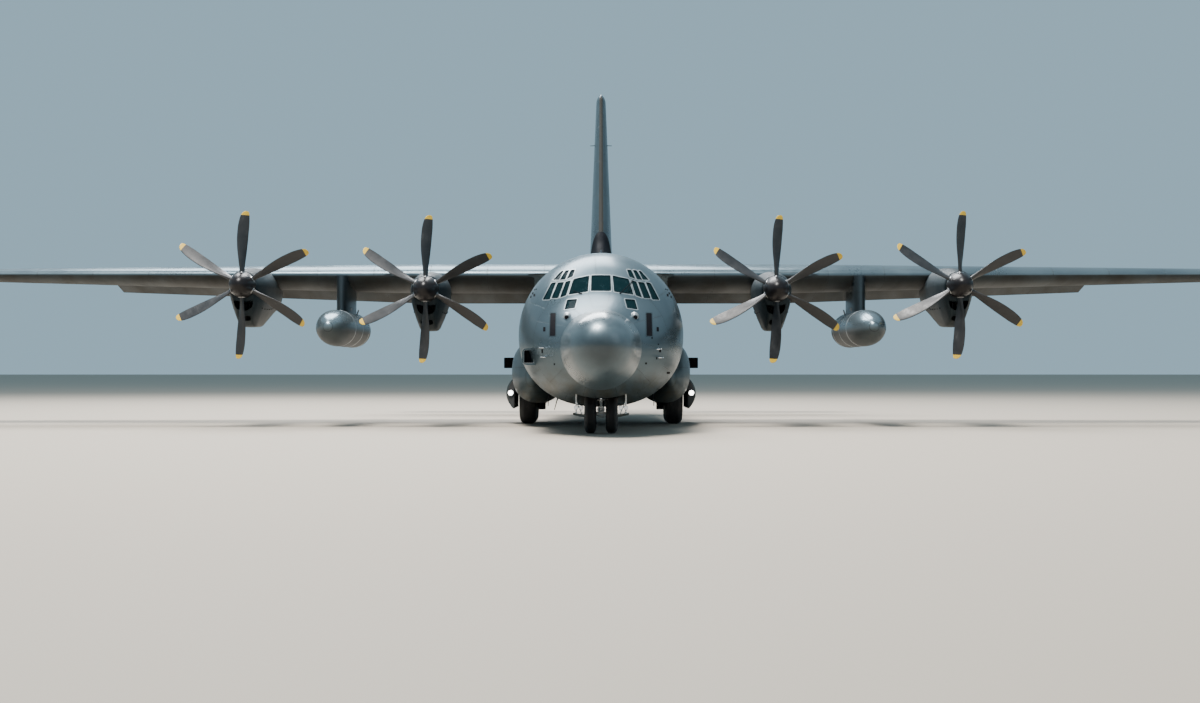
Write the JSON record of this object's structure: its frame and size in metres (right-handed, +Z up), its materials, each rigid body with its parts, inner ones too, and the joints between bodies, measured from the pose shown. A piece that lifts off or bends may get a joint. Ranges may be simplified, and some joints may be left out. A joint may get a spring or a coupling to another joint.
{
  "type": "1:2 scale model of a four-engine turboprop military transport plane",
  "caption": "High-wing cargo plane with turboprop engines, broad-bladed propellers, wing tanks, side wheel fairings and a rear loading ramp, as a half-size model.",
  "frame": {"origin": "on the ground, midway between nose tip and tail tip, on the plane of symmetry", "axes": "+X towards the plane's left wing tip, +Y from nose to tail, +Z up"},
  "size_m": [20.205, 14.895, 5.92],
  "materials": {
    "radome_paint": "satin grey paint over a composite shell",
    "fuselage_paint": "matt grey paint",
    "wing_paint": "matt grey paint",
    "tail_paint": "matt grey paint",
    "nacelle_paint": "matt dark grey paint",
    "black_paint": "matt black",
    "propeller_paint": "matt black, yellow blade tips",
    "engine_metal": "bare metal",
    "gear_steel": "painted and plated steel",
    "floor_metal": "worn bare metal",
    "cabin_lining": "matt grey",
    "glazing": "tinted clear",
    "tyre": "black rubber"
  },
  "bodies": {
    "airframe": {"radome": "radome_paint", "nose_section": "fuselage_paint", "cockpit_glazing": "glazing", "flight_deck": "cabin_lining", "instrument_panel": "cabin_lining", "center_fuselage": "fuselage_paint", "cargo_floor": "floor_metal", "paratroop_door_left": "fuselage_paint", "paratroop_door_right": "fuselage_paint", "aft_fuselage": "fuselage_paint", "sponson_left": "wing_paint", "sponson_right": "wing_paint", "center_wing": "wing_paint", "outer_wing_left": "wing_paint", "outer_wing_right": "wing_paint", "vertical_fin": "tail_paint", "dorsal_fin": "black_paint", "horizontal_stabilizer": "tail_paint", "nacelle_1": "nacelle_paint", "nacelle_2": "nacelle_paint", "nacelle_3": "nacelle_paint", "nacelle_4": "nacelle_paint", "engine_1": "engine_metal", "engine_2": "engine_metal", "engine_3": "engine_metal", "engine_4": "engine_metal", "drop_tank_left": "wing_paint", "drop_tank_right": "wing_paint", "tank_pylon_left": "wing_paint", "tank_pylon_right": "wing_paint", "nose_gear_leg": "gear_steel", "nose_gear_door_left": "nacelle_paint", "nose_gear_door_right": "nacelle_paint", "main_gear_leg_left": "gear_steel", "main_gear_leg_right": "gear_steel", "main_gear_door_left": "fuselage_paint", "main_gear_door_right": "fuselage_paint"},
    "crew_door": {"crew_door": "fuselage_paint"},
    "cargo_ramp": {"cargo_ramp": "fuselage_paint"},
    "aft_cargo_door": {"aft_cargo_door": "fuselage_paint"},
    "inner_flap_left": {"inner_flap_left": "wing_paint"},
    "inner_flap_right": {"inner_flap_right": "wing_paint"},
    "outer_flap_left": {"outer_flap_left": "wing_paint"},
    "outer_flap_right": {"outer_flap_right": "wing_paint"},
    "aileron_left": {"aileron_left": "wing_paint"},
    "aileron_right": {"aileron_right": "wing_paint"},
    "elevator_left": {"elevator_left": "tail_paint"},
    "elevator_right": {"elevator_right": "tail_paint"},
    "rudder": {"rudder": "tail_paint"},
    "propeller_1": {"propeller_1": "propeller_paint"},
    "propeller_2": {"propeller_2": "propeller_paint"},
    "propeller_3": {"propeller_3": "propeller_paint"},
    "propeller_4": {"propeller_4": "propeller_paint"},
    "nose_gear_fork": {"nose_gear_fork": "gear_steel"},
    "nose_wheels": {"nose_wheels": "tyre"},
    "main_wheel_front_left": {"main_wheel_front_left": "tyre"},
    "main_wheel_front_right": {"main_wheel_front_right": "tyre"},
    "main_wheel_aft_left": {"main_wheel_aft_left": "tyre"},
    "main_wheel_aft_right": {"main_wheel_aft_right": "tyre"}
  },
  "joints": [
    {"name": "crew_door_hinge", "type": "hinge", "parent": "airframe", "child": "crew_door", "pos_m": [0.73128, -5.0025, 0.549], "axis": [0.1241, 0.9923, 0], "range_deg": [0, 95]},
    {"name": "cargo_ramp_hinge", "type": "hinge", "parent": "airframe", "child": "cargo_ramp", "pos_m": [0, 1.5775, 0.38], "axis": [-1, 0, 0], "range_deg": [0, 28.5]},
    {"name": "aft_cargo_door_hinge", "type": "hinge", "parent": "airframe", "child": "aft_cargo_door", "pos_m": [0, 4.7975, 1.57], "axis": [-1, 0, 0], "range_deg": [0, 30]},
    {"name": "inner_flap_left_hinge", "type": "hinge", "parent": "airframe", "child": "inner_flap_left", "pos_m": [1.8725, -0.0169, 2.11291], "axis": [-1, 0, 0], "range_deg": [-18, 18]},
    {"name": "inner_flap_right_hinge", "type": "hinge", "parent": "airframe", "child": "inner_flap_right", "pos_m": [-1.8725, -0.0169, 2.11291], "axis": [-1, 0, 0], "range_deg": [-18, 18]},
    {"name": "outer_flap_left_hinge", "type": "hinge", "parent": "airframe", "child": "outer_flap_left", "pos_m": [4.7875, -0.17382, 2.1409], "axis": [-0.9968, 0.0785, -0.014], "range_deg": [-18, 18]},
    {"name": "outer_flap_right_hinge", "type": "hinge", "parent": "airframe", "child": "outer_flap_right", "pos_m": [-4.7875, -0.17382, 2.1409], "axis": [-0.9968, -0.0785, 0.014], "range_deg": [-18, 18]},
    {"name": "aileron_left_hinge", "type": "hinge", "parent": "airframe", "child": "aileron_left", "pos_m": [8.36, -0.4398, 2.19031], "axis": [-0.9967, 0.0801, -0.0142], "range_deg": [-20, 20]},
    {"name": "aileron_right_hinge", "type": "hinge", "parent": "airframe", "child": "aileron_right", "pos_m": [-8.36, -0.4398, 2.19031], "axis": [-0.9967, -0.0801, 0.0142], "range_deg": [-20, 20]},
    {"name": "elevator_left_hinge", "type": "hinge", "parent": "airframe", "child": "elevator_left", "pos_m": [2.125, 5.80029, 2.425], "axis": [0.9988, -0.0486, 0], "range_deg": [-15, 40]},
    {"name": "elevator_right_hinge", "type": "hinge", "parent": "airframe", "child": "elevator_right", "pos_m": [-2.125, 5.80029, 2.425], "axis": [0.9988, 0.0486, 0], "range_deg": [-15, 40]},
    {"name": "rudder_hinge", "type": "hinge", "parent": "airframe", "child": "rudder", "pos_m": [0, 6.34804, 4.1625], "axis": [0, 0.1284, 0.9917], "range_deg": [-35, 35]},
    {"name": "propeller_1_spin", "type": "hinge", "parent": "airframe", "child": "propeller_1", "pos_m": [4.9925, -3.1475, 1.985], "axis": [0, 1, 0], "continuous": true},
    {"name": "propeller_2_spin", "type": "hinge", "parent": "airframe", "child": "propeller_2", "pos_m": [2.44, -3.1475, 1.9285], "axis": [0, 1, 0], "continuous": true},
    {"name": "propeller_3_spin", "type": "hinge", "parent": "airframe", "child": "propeller_3", "pos_m": [-2.44, -3.1475, 1.9285], "axis": [0, 1, 0], "continuous": true},
    {"name": "propeller_4_spin", "type": "hinge", "parent": "airframe", "child": "propeller_4", "pos_m": [-4.9925, -3.1475, 1.985], "axis": [0, 1, 0], "continuous": true},
    {"name": "nose_steering", "type": "hinge", "parent": "airframe", "child": "nose_gear_fork", "pos_m": [0, -5.6125, 0.4], "axis": [0, 0, 1], "range_deg": [-60, 60]},
    {"name": "nose_wheels_spin", "type": "hinge", "parent": "nose_gear_fork", "child": "nose_wheels", "pos_m": [0, -5.6125, 0.2475], "axis": [1, 0, 0], "continuous": true},
    {"name": "main_wheel_front_left_spin", "type": "hinge", "parent": "airframe", "child": "main_wheel_front_left", "pos_m": [1.085, -1.1025, 0.3555], "axis": [1, 0, 0], "continuous": true},
    {"name": "main_wheel_front_right_spin", "type": "hinge", "parent": "airframe", "child": "main_wheel_front_right", "pos_m": [-1.085, -1.1025, 0.3555], "axis": [1, 0, 0], "continuous": true},
    {"name": "main_wheel_aft_left_spin", "type": "hinge", "parent": "airframe", "child": "main_wheel_aft_left", "pos_m": [1.085, -0.3425, 0.3555], "axis": [1, 0, 0], "continuous": true},
    {"name": "main_wheel_aft_right_spin", "type": "hinge", "parent": "airframe", "child": "main_wheel_aft_right", "pos_m": [-1.085, -0.3425, 0.3555], "axis": [1, 0, 0], "continuous": true}
  ],
  "couplings": [
    {"joint": "inner_flap_right_hinge", "follows": "inner_flap_left_hinge", "ratio": 1},
    {"joint": "outer_flap_left_hinge", "follows": "inner_flap_left_hinge", "ratio": 1},
    {"joint": "outer_flap_right_hinge", "follows": "inner_flap_left_hinge", "ratio": 1},
    {"joint": "aileron_right_hinge", "follows": "aileron_left_hinge", "ratio": -1},
    {"joint": "elevator_right_hinge", "follows": "elevator_left_hinge", "ratio": 1}
  ]
}
